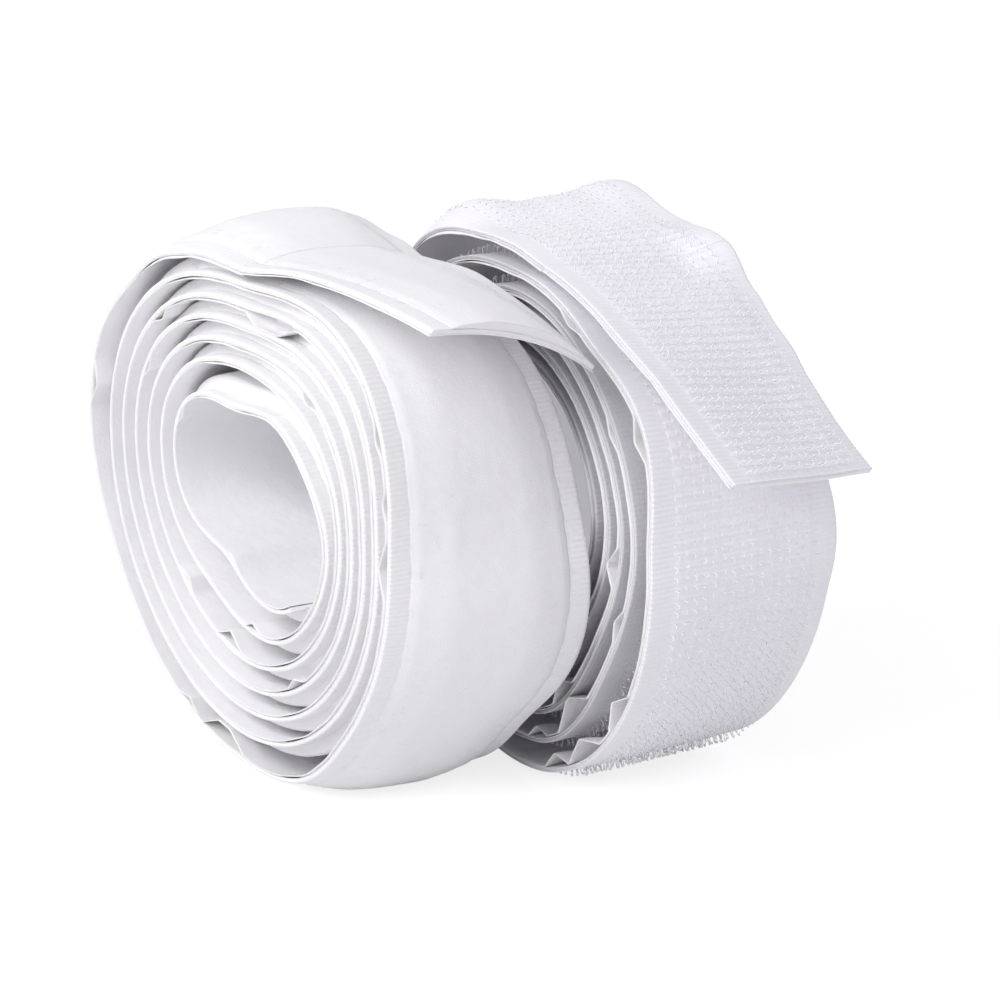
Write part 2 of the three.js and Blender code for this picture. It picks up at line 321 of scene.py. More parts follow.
def loop_radius(angle, share):
    """Radius of the loop tape's ground at an angle, and at a share of the width from the front edge."""
    turns = angle / TURN
    loose = (1 - np.cos(angle - LOOP_TIGHT_AT)) / 2
    pitch = LEAST_PITCH + LOOP_SLACK * loose ** LOOP_SLACK_POWER
    packed = bore_radius(angle, LOOP_BORE, LOOP_BORE_WAVES) + pitch * turns
    packed = packed + rise_each_turn(angle, LOOP_SHOULDER) * (turns - LOOP_SHOULDER_FROM)
    for sag in LOOP_SAGS:
        packed = packed - rise_once(angle, sag)
    on_last_turn = angle - (LOOP_TURNS - 1) * TURN
    lift = rise_once(on_last_turn, LOOP_END_LIFT) * (1 - share)
    return packed + lift + loop_flare(angle) * share


def hook_radius(angle, share):
    """Radius of the hook tape's ground, in the same way."""
    on_last_turn = angle - (HOOK_TURNS - 1) * TURN
    pitch = LEAST_PITCH + HOOK_SLACK * (1 - np.cos(angle)) / 2
    packed = bore_radius(angle, HOOK_BORE, HOOK_BORE_WAVES) + pitch * angle / TURN
    sag = rise_each_turn(angle, HOOK_SAG) - rise_once(on_last_turn, HOOK_SAG)
    corner = rise_once(on_last_turn, HOOK_CORNER) * (1 - share)
    lift = rise_once(on_last_turn, HOOK_END_LIFT) + rise_once(on_last_turn, HOOK_UNDER_LIFT)
    lift = lift + rise_once(on_last_turn, HOOK_BACK_LIFT) * share
    drop = HOOK_RIM_DROP + sum(rise_each_turn(angle, dip) for dip in HOOK_RIM_DIPS)
    return packed - sag + corner + lift - drop * share


class Roll:
    """One tape: its winding, its free end and its place in the frame.

    Its bulges are (s, span, height at the front edge, in the middle, at the back edge), its bumps (s, span,
    place across, reach across, height), and its liner's tents (turn, degrees, half length, depth).
    """

    def __init__(self, kind, radius_at, end_angle, yaw, middle_from_corner, tail, shape):
        self.kind = kind
        self.radius_at = radius_at
        self.end_angle = end_angle
        self.yaw = yaw
        self.middle_from_corner = np.array(middle_from_corner)
        self.tail = tail
        self.bulges = shape["bulges"]
        self.bumps = shape["bumps"]
        self.tents = shape["tents"]
        self.measure_winding()
        self.measure_tail()
        self.place()

    def measure_winding(self):
        """Tables of the distance along the winding, which is negative and ends at zero."""
        self.angles = np.linspace(INNER_END, self.end_angle, WINDING_SAMPLES)
        radius = self.radius_at(self.angles, 0.5)
        path = np.stack([radius * np.sin(self.angles), radius * np.cos(self.angles)], 1)
        steps = np.linalg.norm(np.diff(path, axis=0), axis=1)
        length = np.concatenate([[0], np.cumsum(steps)])
        self.distances = length - length[-1]
        self.wound_length = length[-1]

    def measure_tail(self):
        """The free end's middle line, cross direction and normal at small steps."""
        tail = self.tail
        front, back = (self.wound(self.end_angle, x, 0) for x in (-HALF_WIDTH, HALF_WIDTH))
        start_twist = -math.atan2(back[2] - front[2], TAPE_WIDTH)
        self.stops = np.linspace(0, tail["length"], TAIL_SAMPLES)
        share = self.stops / tail["length"]
        bent = np.clip(self.stops / tail["bend"], 0, 1)
        slope = tail["slope"] + (tail["end_slope"] - tail["slope"]) * bent
        turned = np.clip(self.stops / tail["twist_over"], 0, 1)
        twist = start_twist + (tail["twist"] - start_twist) * turned
        none = np.zeros_like(slope)
        along = np.stack([none, -np.cos(slope), np.sin(slope)], 1)
        upright = np.stack([none, np.sin(slope), np.cos(slope)], 1)
        skewed = along * np.tan(tail["skew"] * share)[:, None]
        twisted = upright * np.tan(twist)[:, None]
        self.cross = unit(np.array([1.0, 0, 0]) - skewed - twisted)
        self.normal = unit(-np.cross(self.cross, along))
        stride = self.stops[1]
        run = np.cumsum(along, axis=0) * stride
        self.middle = (front + back) / 2 + np.concatenate([[[0, 0, 0]], run[:-1]])
        self.middle[:, 0] += tail["drift"] * share * share

    def place(self):
        """The roll's middle in the frame, from the low corner of its ground's box."""
        low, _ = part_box(f"{self.kind}_ground")
        self.origin = np.array(low) / MM + self.middle_from_corner

    def turned(self, points):
        c, s = math.cos(self.yaw), math.sin(self.yaw)
        x, y, z = points[..., 0], points[..., 1], points[..., 2]
        return np.stack([c * x - s * y, s * x + c * y, z], -1)

    def angle_of(self, s):
        return np.interp(s, self.distances, self.angles)

    def distance_of(self, angle):
        return np.interp(angle, self.angles, self.distances)

    def turns_back(self, turns):
        """The distance at a number of turns before the winding's end."""
        return float(self.distance_of(self.end_angle - turns * TURN))

    def wound(self, angle, x, depth):
        radius = self.radius_at(angle, share_of_width(x)) - depth
        return np.stack(np.broadcast_arrays(x, -radius * np.sin(angle), radius * np.cos(angle)), -1)

    def bulge(self, s, x):
        """How far the tape stands out from its plain form: a slow waver, the bulges and the bumps."""
        share = share_of_width(x)
        out = WAVER * noise(s / WAVER_LENGTH, WAVER_ACROSS * share) * smooth_step(-s / WAVER_FADE)
        for at, span, front, middle, back in self.bulges:
            across = front * (1 - share) * (1 - 2 * share) + 4 * middle * share * (1 - share)
            across = across + back * share * (2 * share - 1)
            out = out + across * hump(s - at, span)
        for at, span, place, reach, height in self.bumps:
            out = out + height * hump(s - at, span) * hump(x - place, reach)
        return out

    def point(self, s, x, depth):
        """A point of the tape in the frame, in millimetres."""
        s, x, depth = np.broadcast_arrays(*(np.asarray(value, float) for value in (s, x, depth)))
        depth = depth - self.bulge(s, x)
        in_roll = self.wound(self.angle_of(s), x, depth)
        middle, cross, normal = (
            np.stack([np.interp(s, self.stops, table[:, axis]) for axis in range(3)], -1)
            for table in (self.middle, self.cross, self.normal)
        )
        in_tail = middle + cross * x[..., None] - normal * depth[..., None]
        local = np.where(s[..., None] < 0, in_roll, in_tail)
        placed = self.turned(local) + self.origin
        placed[..., 2] = np.maximum(placed[..., 2], 0)
        return placed

    def axes(self, s, x):
        """Unit vectors along the tape, across it and out of it."""
        nudge = 0.05
        along = unit(self.point(s + nudge, x, 0) - self.point(s - nudge, x, 0))
        across = self.point(s, x + nudge, 0) - self.point(s, x - nudge, 0)
        out = unit(np.cross(along, across))
        return along, np.cross(out, along), out


def loop_roll():
    tail = {
        "length": 35.5, "slope": 0.0, "end_slope": math.radians(-16), "bend": 35.5,
        "twist": math.radians(19), "twist_over": 35.5, "skew": math.radians(1), "drift": 0.0, "tab_from": 14,
    }
    bulges = [
        (-19, 24, 0.0, 1.4, -1.2),
        (-1, 14, -0.7, -0.4, -1.5),
        (36, 30, 0.0, 1.8, 0.0),
        (-107, 45, 0.3, 1.0, 0.0),
        (-122, 16, 1.1, 1.7, 1.5),
    ]
    bumps = [
        (-22, 9, -10.5, 5, 0.8),
        (-14, 9, 9.5, 5, 0.5),
        (-9, 7, 12.5, 6, -0.9),
    ]
    tents = [
        (6, 18, 5.0, 3.0), (4, 45, 1.5, 0.9), (3, 190, 3.0, 1.9), (7, 190, 5.0, 3.2),
        (7, 205, 2.6, 1.2), (7, 282, 3.2, 1.4), (7, 65, 1.8, 0.6), (7, 78, 1.8, 0.6), (7, 92, 3.6, 1.2),
        (3, 225, 2.2, 1.0), (2, 172, 1.6, 1.0), (4, 150, 2.0, 0.9), (5, 318, 2.0, 0.8), (4, 300, 1.8, 0.7),
        (1, 300, 1.6, 0.6), (1, 195, 2.2, 0.6),
    ]
    middle = (17.18, 33.83, 35.27)
    end_angle = LOOP_TURNS * TURN + math.radians(4)
    shape = {"bulges": bulges, "bumps": bumps, "tents": tents}
    return Roll("loop", loop_radius, end_angle, math.radians(7.9), middle, tail, shape)


def hook_roll():
    tail = {
        "length": 37.5, "slope": math.radians(-14.8), "end_slope": math.radians(-33), "bend": 14,
        "twist": math.radians(17), "twist_over": 22, "skew": math.radians(11.4), "drift": 2.2, "tab_from": 22,
    }
    bulges = [
        (-24, 20, -1.6, 0.9, 0.4),
        (-6, 5, 0.1, 0.4, 0.4),
        (-38, 13, 0.0, 1.5, 1.4),
        (-15, 9, 0.0, -1.0, -0.4),
        (14, 15, 0.0, 0.3, 1.4),
    ]
    bumps = [
        (-28, 14, -8, 7, 2.2),
        (-24, 12, 11.5, 7, 1.6),
        (0, 8, 12.5, 8, 2.3),
        (13, 6, 12.5, 8, -0.6),
        (26, 12, 12.5, 9, 0.7),
        (39, 10, 12.5, 8, 0.4),
        (-167, 8, 12.5, 8, 0.7),
        (-181, 11, 12.5, 9, -1.2),
    ]
    tents = [
        (6, 64, 2.6, 1.6), (6, 126, 3.4, 2.0), (6, 145, 4.2, 2.2), (5, 145, 4.6, 2.8), (4, 94, 2.6, 2.0),
        (4, 147, 3.0, 2.0), (6, 158, 3.0, 1.6), (5, 165, 2.4, 1.4), (3, 120, 2.2, 1.2), (5, 108, 2.4, 1.0),
        (2, 150, 2.4, 1.4), (6, 30, 2.2, 0.7), (5, 60, 2.2, 0.7),
    ]
    middle = (12.5, 32.61, 32.98)
    end_angle = HOOK_TURNS * TURN + math.radians(14.8)
    shape = {"bulges": bulges, "bumps": bumps, "tents": tents}
    return Roll("hook", hook_radius, end_angle, 0.0, middle, tail, shape)


# Mesh making

# A slanting direction, from which a tube's ring is set up
TUBE_ASIDE = np.array([0.31, 0.52, 0.79])


def make_piece(name, points, faces, material, tape_map=None):
    """A piece from points in millimetres. tape_map gives each point's place on the flat tape."""
    mesh = bpy.data.meshes.new(name)
    mesh.from_pydata((points * MM).tolist(), [], faces)
    mesh.polygons.foreach_set("use_smooth", np.ones(len(mesh.polygons), bool))
    if tape_map is not None:
        corner = np.zeros(len(mesh.loops), int)
        mesh.loops.foreach_get("vertex_index", corner)
        layer = mesh.uv_layers.new(name="Tape")
        layer.data.foreach_set("uv", tape_map[corner].astype(np.float32).ravel())
    mesh.materials.append(material)
    piece = bpy.data.objects.new(name, mesh)
    bpy.context.scene.collection.objects.link(piece)
    return piece


def loft(name, roll, stations, ring_x, ring_depth, material):
    """A closed band. The ring runs along the outer face from front to back, then back along the inner face.
    ring_x and ring_depth have a row for each station."""
    count, ring = ring_x.shape
    s = np.broadcast_to(stations[:, None], ring_x.shape)
    points = roll.point(s, ring_x, ring_depth).reshape(-1, 3)
    row = np.arange(count - 1)[:, None] * ring
    a = row + np.arange(ring)
    d = row + (np.arange(ring) + 1) % ring
    faces = np.stack([a, a + ring, d + ring, d], -1).reshape(-1, 4).tolist()
    faces.append(list(range(ring)))
    faces.append([(count - 1) * ring + place for place in reversed(range(ring))])
    tape_map = np.stack([ring_x.ravel() + HALF_WIDTH, s.ravel() + roll.wound_length], 1)
    piece = make_piece(name, points, faces, material, tape_map)
    for cut_end in piece.data.polygons[-2:]:
        cut_end.use_smooth = False
    return piece


def tubes(name, paths, radius, sides, material):
    """Closed tubes of one radius along paths, an array of tubes, points and places."""
    count, rings, _ = paths.shape
    along = unit(np.gradient(paths, axis=1))
    aside = unit(np.cross(along, TUBE_ASIDE))
    other = np.cross(along, aside)
    turn = np.arange(sides) * TURN / sides
    ring = aside[:, :, None] * np.cos(turn)[:, None] + other[:, :, None] * np.sin(turn)[:, None]
    points = paths[:, :, None] + ring * radius
    index = np.arange(count * rings * sides).reshape(count, rings, sides)
    a = index[:, :-1]
    b = np.roll(a, -1, axis=2)
    d = index[:, 1:]
    c = np.roll(d, -1, axis=2)
    faces = np.stack([a, b, c, d], -1).reshape(-1, 4).tolist()
    faces += index[:, 0, ::-1].tolist()
    faces += index[:, -1].tolist()
    return make_piece(name, points.reshape(-1, 3), faces, material)


# Materials. A grain is counted per millimetre of flat tape, and a strand's per metre

LOOP_WHITE = (0.958, 0.954, 0.965)
PILE_WHITE = (0.955, 0.951, 0.96)
# The fibres are a lighter copy of the pile's white: a painted highlight
FIBRE_PAINTED_HIGHLIGHT_WHITE = (0.972, 0.969, 0.977)
HOOK_WHITE = (0.938, 0.926, 0.97)
WIRE_WHITE = (0.96, 0.953, 0.982)
LINER_WHITE = (0.97, 0.963, 0.988)
ADHESIVE_WHITE = (0.93, 0.925, 0.91)

# Shades are shares of a colour. Cut edges are darker, partly in their own tone and partly as painted shade
# against the key light; the hook tape's edges carry more painted shade, for the loop roll's shadow on them.
# A layer's edge turns darker between two distances from its cut
EDGE_TONE_AND_PAINTED_SHADE = 0.86
HOOK_EDGE_PAINTED_SHADE = 0.75
EDGE_FADE_FROM = 0.08
EDGE_FADE_TO = 0.03
# Painted shade on the hook roll's turns under the last one, fading out over a distance before the last turn
HOOK_INNER_PAINTED_SHADE = 0.78
INNER_PAINTED_SHADE_FADE = 6

# The values of a texture between which a colour goes from its shade to itself
SHADE_FROM = 0.3
SHADE_TO = 0.7

# Blender's wave texture passes through this many radians for each unit of its scale
WAVE_RADIANS = 20

SHEEN = 0.25
BUMP_STRENGTH = 0.6
SPECKLE_DETAIL = 3.0
SPECKLE_ROUGHNESS = 0.6

WEAVE_ROUGHNESS = 0.8
WEAVE_ROUGHNESSES = (0.7, 0.9)
WEAVE_SHEEN_ROUGHNESS = 0.4
WEAVE_SHADE = 0.95
WEAVE_BUMP = 0.05
WARP_RELIEF = 0.35
YARN_RELIEF = 0.6
YARN_GRAIN = 2.2

PILE_ROUGHNESS = 0.9
PILE_ROUGHNESSES = (0.8, 0.95)
PILE_SHEEN_ROUGHNESS = 0.5
PILE_SHADE = 0.975
PILE_BUMP = 0.1
CLUMP_RELIEF = 0.4
CLUMP_GRAIN = 0.7
CLUMP_DETAIL = 2.0
TANGLE_GRAIN = 5.5
TANGLE_DETAIL = 4.0
TANGLE_ROUGHNESS = 0.7

STRAND_SHINE = 0.4
STRAND_SHADE = 0.94
STRAND_GRAIN = 900
STRAND_ROUGHNESSES = (0.8, 1.25)
WIRE_ROUGHNESS = 0.5
FIBRE_ROUGHNESS = 0.6

FILM_SHINE = 0.4
FILM_SHADE = 0.975
FILM_GRAIN = 0.45
FILM_BUMP_STRENGTH = 0.5
FILM_ROUGHNESSES = (0.85, 1.2)
LINER_ROUGHNESS = 0.42
LINER_CRINKLE = 0.25
ADHESIVE_ROUGHNESS = 0.35
ADHESIVE_CRINKLE = 0.1


def principled(name, colour, roughness, **sockets):
    """A material with plain values, which textures may take over."""
    material = bpy.data.materials.new(name)
    material.use_nodes = True
    shader = material.node_tree.nodes["Principled BSDF"]
    shader.inputs["Base Color"].default_value = (*colour, 1)
    shader.inputs["Roughness"].default_value = roughness
    for socket, value in sockets.items():
        shader.inputs[socket.replace("_", " ")].default_value = value
    return material, material.node_tree, shader


def fill_socket(tree, socket, value):
    """Links another node's socket, or sets a plain value."""
    if isinstance(value, bpy.types.NodeSocket):
        tree.links.new(value, socket)
    else:
        socket.default_value = value


def add_node(tree, kind, settings=(), **inputs):
    made = tree.nodes.new(kind)
    for key, value in dict(settings).items():
        setattr(made, key, value)
    for key, value in inputs.items():
        fill_socket(tree, made.inputs[key.replace("_", " ")], value)
    return made


def blend_values(tree, operation, *values):
    made = add_node(tree, "ShaderNodeMath", {"operation": operation})
    for place, value in enumerate(values):
        fill_socket(tree, made.inputs[place], value)
    return made.outputs[0]


def tape_coordinates(tree):
    return add_node(tree, "ShaderNodeUVMap", {"uv_map": "Tape"}).outputs["UV"]


def waves(tree, where, direction, pitch):
    """Even bands across one direction of the flat tape."""
    settings = {"wave_type": "BANDS", "bands_direction": direction, "wave_profile": "SIN"}
    scale = TURN / WAVE_RADIANS / pitch
    made = add_node(tree, "ShaderNodeTexWave", settings, Vector=where, Scale=scale, Distortion=0.0)
    return made.outputs["Fac"]


def speckle(tree, where, scale, detail=SPECKLE_DETAIL, roughness=SPECKLE_ROUGHNESS):
    made = add_node(tree, "ShaderNodeTexNoise", (), Vector=where, Scale=scale, Detail=detail,
                    Roughness=roughness)
    return made.outputs["Fac"]


def shade_between(tree, factor, colour, shade, socket):
    """Colours a socket between a shade of a colour and the colour itself, by a factor."""
    ramp = tree.nodes.new("ShaderNodeValToRGB")
    darker, plain = ramp.color_ramp.elements
    darker.position = SHADE_FROM
    darker.color = (*(channel * shade for channel in colour), 1)
    plain.position = SHADE_TO
    plain.color = (*colour, 1)
    tree.links.new(factor, ramp.inputs[0])
    tree.links.new(ramp.outputs[0], socket)


def roughen(tree, shader, factor, least, most):
    made = add_node(tree, "ShaderNodeMapRange", (), Value=factor, To_Min=least, To_Max=most)
    tree.links.new(made.outputs[0], shader.inputs["Roughness"])


def raise_bump(tree, shader, height, distance, strength):
    made = add_node(tree, "ShaderNodeBump", (), Strength=strength, Distance=distance * MM, Height=height)
    tree.links.new(made.outputs[0], shader.inputs["Normal"])


def scale_colour(tree, shader, factor):
    """Multiplies the base colour that is linked to a shader by a factor."""
    base = shader.inputs["Base Color"]
    scaled = add_node(tree, "ShaderNodeVectorMath", {"operation": "SCALE"}, Scale=factor)
    tree.links.new(base.links[0].from_socket, scaled.inputs[0])
    tree.links.new(scaled.outputs[0], base)


def paint_edge_tone_and_shade(tree, shader, where, half, shade):
    """Darkens the base colour on a layer's cut edges, half a width from the tape's middle: partly the edges'
    own tone, partly painted shade.
    """
    across = add_node(tree, "ShaderNodeSeparateXYZ", (), Vector=where).outputs["X"]
    off = blend_values(tree, "ABSOLUTE", blend_values(tree, "SUBTRACT", across, HALF_WIDTH))
    edge = add_node(tree, "ShaderNodeMapRange", (), Value=off, From_Min=half - EDGE_FADE_FROM,
                    From_Max=half - EDGE_FADE_TO, To_Min=1.0, To_Max=shade)
    scale_colour(tree, shader, edge.outputs[0])


def paint_inner_turn_shade(tree, shader, where, last_turn, shade):
    """Paints shade on the turns that lie under the last one, which starts at a distance from the tape's inner
    end.
    """
    along = add_node(tree, "ShaderNodeSeparateXYZ", (), Vector=where).outputs["Y"]
    inner = add_node(tree, "ShaderNodeMapRange", (), Value=along, From_Min=last_turn - INNER_PAINTED_SHADE_FADE,
                     From_Max=last_turn, To_Min=shade, To_Max=1.0)
    scale_colour(tree, shader, inner.outputs[0])


def woven_material(name, colour, edge_tone_and_painted_shade, inner=None):
    """Plain weave: weft ribs along the tape, warp threads across it, uneven yarn and darker cut edges, partly
    painted shade. inner is where the last turn starts and the painted shade of the turns under it."""
    material, tree, shader = principled(name, colour, WEAVE_ROUGHNESS, Sheen_Weight=SHEEN,
                                        Sheen_Roughness=WEAVE_SHEEN_ROUGHNESS)
    where = tape_coordinates(tree)
    weft = waves(tree, where, "Y", RIB_PITCH)
    warp = waves(tree, where, "X", WARP_PITCH)
    yarn = speckle(tree, where, YARN_GRAIN)
    height = blend_values(tree, "ADD", weft, blend_values(tree, "MULTIPLY", warp, WARP_RELIEF))
    height = blend_values(tree, "ADD", height, blend_values(tree, "MULTIPLY", yarn, YARN_RELIEF))
    raise_bump(tree, shader, height, WEAVE_BUMP, BUMP_STRENGTH)
    shade_between(tree, yarn, colour, WEAVE_SHADE, shader.inputs["Base Color"])
    # Cut edges darker, partly their own tone and partly painted shade
    paint_edge_tone_and_shade(tree, shader, where, HALF_WIDTH, edge_tone_and_painted_shade)
    # Painted shade on the turns under the last one
    if inner:
        paint_inner_turn_shade(tree, shader, where, *inner)
    roughen(tree, shader, yarn, *WEAVE_ROUGHNESSES)
    return material


def pile_material(name, colour):
    """Brushed loops: tangled fibres at several sizes, with a soft sheen."""
    material, tree, shader = principled(name, colour, PILE_ROUGHNESS, Sheen_Weight=SHEEN,
                                        Sheen_Roughness=PILE_SHEEN_ROUGHNESS)
    where = tape_coordinates(tree)
    clumps = speckle(tree, where, CLUMP_GRAIN, CLUMP_DETAIL)
    tangle = speckle(tree, where, TANGLE_GRAIN, TANGLE_DETAIL, TANGLE_ROUGHNESS)
    height = blend_values(tree, "ADD", tangle, blend_values(tree, "MULTIPLY", clumps, CLUMP_RELIEF))
    raise_bump(tree, shader, height, PILE_BUMP, BUMP_STRENGTH)
    shade_between(tree, tangle, colour, PILE_SHADE, shader.inputs["Base Color"])
    roughen(tree, shader, clumps, *PILE_ROUGHNESSES)
    return material


def strand_material(name, colour, roughness):
    material, tree, shader = principled(name, colour, roughness, Specular_IOR_Level=STRAND_SHINE)
    where = add_node(tree, "ShaderNodeTexCoord").outputs["Object"]
    uneven = speckle(tree, where, STRAND_GRAIN)
    shade_between(tree, uneven, colour, STRAND_SHADE, shader.inputs["Base Color"])
    roughen(tree, shader, uneven, *(roughness * share for share in STRAND_ROUGHNESSES))
    return material


def film_material(name, colour, roughness, crinkle, half):
    """A smooth film with a faint crinkle."""
    material, tree, shader = principled(name, colour, roughness, Specular_IOR_Level=FILM_SHINE)
    where = tape_coordinates(tree)
    uneven = speckle(tree, where, FILM_GRAIN)
    raise_bump(tree, shader, uneven, crinkle, FILM_BUMP_STRENGTH)
    shade_between(tree, uneven, colour, FILM_SHADE, shader.inputs["Base Color"])
    # Cut edges darker, partly their own tone and partly painted shade
    paint_edge_tone_and_shade(tree, shader, where, half, EDGE_TONE_AND_PAINTED_SHADE)
    roughen(tree, shader, uneven, *(roughness * share for share in FILM_ROUGHNESSES))
    return material


def make_materials(hook):
    # Where the hook roll's last turn starts, and the painted shade of the turns under it
    inner = (hook.turns_back(1) + hook.wound_length, HOOK_INNER_PAINTED_SHADE)
    adhesive = (ADHESIVE_WHITE, ADHESIVE_ROUGHNESS, ADHESIVE_CRINKLE, ADHESIVE["half"])
    return {
        "loop_ground": woven_material("loop_ground_weave", LOOP_WHITE, EDGE_TONE_AND_PAINTED_SHADE),
        # The hook tape's cut edges get more painted shade than the loop tape's, for the loop roll's shadow on
        # them
        "hook_ground": woven_material("hook_ground_weave", HOOK_WHITE, HOOK_EDGE_PAINTED_SHADE, inner),
        "loop_field": pile_material("loop_pile", PILE_WHITE),
        "hook_field": woven_material("hook_bed_weave", HOOK_WHITE, HOOK_EDGE_PAINTED_SHADE, inner),
        "hooks": strand_material("hook_monofilament", WIRE_WHITE, WIRE_ROUGHNESS),
        "fibres": strand_material("loop_fibre", FIBRE_PAINTED_HIGHLIGHT_WHITE, FIBRE_ROUGHNESS),
        "liner": film_material("liner_film", LINER_WHITE, LINER_ROUGHNESS, LINER_CRINKLE, LINER["half"]),
        "adhesive": film_material("adhesive_film", *adhesive),
    }


# The layers of a tape

def ribs(s):
    """Weft ribs, between 0 and 1."""
    return 0.5 - 0.5 * np.cos(TURN * s / RIB_PITCH)


def winding_stations(roll, fine_step, coarse_step):
    """Coarse steps in the inner turns, fine ones from a little before the last turn."""
    change = roll.turns_back(FINE_TURNS)
    inner = np.linspace(-roll.wound_length, change, round((roll.wound_length + change) / coarse_step))
    outer = np.linspace(change, 0, round(-change / fine_step))
    return np.concatenate([inner[:-1], outer])


def end_stations(start, end, step):
    return np.linspace(start, end, max(2, round((end - start) / step)))


def from_both_edges(edge, middle, sign=1):
    """A row across the tape: an edge, the middle, and the edge mirrored, with its own sign."""
    return np.concatenate([edge, middle, sign * edge[::-1]])


def ground_band(name, roll, stations, material):
    """The woven ground, with rounded edges and ribs that show along both selvedges."""
    place, drop, rib_share, wave_share = SELVEDGE_PROFILE.T
    middle = np.linspace(-GROUND_MIDDLE, GROUND_MIDDLE, GROUND_COLUMNS)
    flat = np.zeros(GROUND_COLUMNS)
    top_x = from_both_edges(place - HALF_WIDTH, middle, -1)
    bottom_x = from_both_edges(HALF_WIDTH - UNDERSIDE_CORNERS, -middle, -1)
    bottom_depth = np.full(len(bottom_x), GROUND_THICK)
    bottom_depth[[0, -1]] -= UNDERSIDE_ROUND
    lift = ribs(stations)[:, None]
    wavy_x = top_x + EDGE_WAVE * from_both_edges(wave_share, flat, -1) * (1 - lift)
    ribbed = from_both_edges(drop, flat) - RIB_HEIGHT * from_both_edges(rib_share, flat) * lift
    rows = (len(stations), 1)
    ring_x = np.concatenate([wavy_x, np.tile(bottom_x, rows)], 1)
    ring_depth = np.concatenate([ribbed, np.tile(bottom_depth, rows)], 1)
    return loft(name, roll, stations, ring_x, ring_depth, material)


def flat_band(name, roll, stations, film, sag, material):
    """A thin film. sag gives how far it hangs towards the roll's middle at a distance and a place across."""
    columns = film["columns"]
    across = np.sin(np.linspace(-1, 1, columns) * math.pi / 2) * film["half"]
    ring_x = np.tile(np.concatenate([across, across[::-1]]), (len(stations), 1))
    depth = np.repeat([film["top"], film["bottom"]], columns)
    return loft(name, roll, stations, ring_x, depth + sag(stations[:, None], ring_x), material)


def no_sag(s, x):
    return np.zeros(np.broadcast(s, x).shape)


def pitch_below(roll, s, x):
    """From the tape's ground down to the ground of the turn below it."""
    angle = roll.angle_of(s)
    share = share_of_width(x)
    pitch = roll.radius_at(angle, share) - roll.radius_at(angle - TURN, share)
    return np.where(angle - TURN < INNER_END, OPEN_ROOM, pitch)


def field_edge(x):
    """1 over the field, falling to 0 at the selvedges."""
    return smooth_step((HALF_FIELD + FIELD_OVERHANG - np.abs(x)) / FIELD_FADE)


def inner_pile(pitch):
    """Height of a field that is squeezed under the next turn."""
    return np.clip(INNER_PILE_SHARE * (pitch - LINER_BOTTOM), INNER_PILE_LEAST, INNER_PILE_MOST)


def room_below(roll, s, x):
    """The free space between the tape's inner face and the turn below it."""
    pitch = pitch_below(roll, s, x)
    field = np.maximum(inner_pile(pitch), FIELD_SPACE) * field_edge(x)
    return pitch - LINER_BOTTOM - field - LINER_CLEARANCE


def liner_sag(roll):
    """The liner's tents, where it has come off the adhesive, and the ripple of its edges."""
    places = []
    for turn, degrees, half, depth in roll.tents:
        at = float(roll.distance_of((turn - 1) * TURN + math.radians(degrees)))
        places.append((at, half, depth))

    def sag(s, x):
        from_front = x + HALF_WIDTH
        inward = smooth_step(from_front / TENT_REACH)
        ripple = LINER_RIPPLE * (1 + noise(s / LINER_RIPPLE_LENGTH, LINER_RIPPLE_ROW))
        hang = ripple * (1 - LINER_RIPPLE_FADE * inward)
        for at, half, depth in places:
            slant = s - at - TENT_SLANT * from_front
            tent = np.clip(1 - np.abs(slant) / half, 0, 1)
            hang = hang + depth * tent ** TENT_POWER * (1 - TENT_FADE * inward)
        return np.minimum(hang, np.maximum(room_below(roll, s, x), 0))

    return sag


def end_ripple(s, x):
    """The liner along a free end: close to the adhesive, with a faint ripple."""
    edge = smooth_step(np.abs(x) / HALF_WIDTH - END_RIPPLE_INSET)
    ripple = END_RIPPLE * (1 + noise(s / END_RIPPLE_LENGTH, END_RIPPLE_ACROSS * x))
    return ripple * edge * smooth_step(s / END_RIPPLE_FADE)


def pile_crown(x):
    """The share of its full height that the pile has at a place across, where no turn lies over it."""
    inward = HALF_FIELD - np.abs(x)
    edge = PILE_EDGE_SHARE * smooth_step(inward / PILE_FEATHER)
    return edge + (1 - PILE_EDGE_SHARE) * smooth_step(inward / PILE_CROWN)


def pile_cover(roll, s):
    """1 where a turn lies over the pile, falling to 0 where the last turn starts."""
    to_last_turn = roll.end_angle - TURN - roll.angle_of(s)
    return smooth_step(to_last_turn / COVER_FADE) * (s < 0)


def pile_height(roll, s, x, covered):
    """The pile's height in its middle, which fills the room under the turn that covers it."""
    angle_above = np.minimum(roll.angle_of(s) + TURN, roll.end_angle)
    squeezed = inner_pile(pitch_below(roll, roll.distance_of(angle_above), x))
    return PILE_HEIGHT + (squeezed - PILE_HEIGHT) * covered


